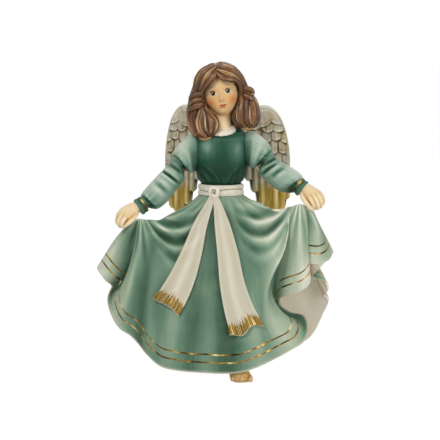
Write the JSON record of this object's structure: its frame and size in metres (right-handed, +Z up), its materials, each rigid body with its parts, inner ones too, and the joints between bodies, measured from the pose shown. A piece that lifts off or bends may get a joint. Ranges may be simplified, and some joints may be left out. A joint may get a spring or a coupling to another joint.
{
  "type": "angel figurine",
  "caption": "Hand-painted ceramic angel girl with folded wings who spreads her wide skirt with both hands, for standing on a shelf.",
  "frame": {"origin": "on the floor, under the middle of the figure's bounding box", "axes": "+Z up, -Y the way the figure faces, +X to the figure's left"},
  "size_m": [0.2126, 0.144, 0.2815],
  "materials": {
    "sage_green": "satin, hand-painted",
    "forest_green": "satin, hand-painted",
    "cream": "satin, hand-painted",
    "skin": "satin, hand-painted",
    "chestnut": "satin, hand-painted",
    "feather": "satin, hand-painted"
  },
  "bodies": {
    "root": {"bodice": "forest_green", "neck": "skin", "collar": "cream", "skirt": "sage_green", "waist_sash": "cream", "left_sash_tail": "cream", "right_sash_tail": "cream", "sash_knot": "cream", "left_leg": "skin", "right_leg": "skin", "left_upper_sleeve": "sage_green", "left_lower_sleeve": "sage_green", "left_cuff": "forest_green", "left_hand": "skin", "right_upper_sleeve": "sage_green", "right_lower_sleeve": "sage_green", "right_cuff": "forest_green", "right_hand": "skin", "head": "skin", "hair_crown": "chestnut", "left_hair_lock": "chestnut", "right_hair_lock": "chestnut", "left_wing": "feather", "right_wing": "feather", "hair_back": "chestnut"}
  },
  "joints": []
}
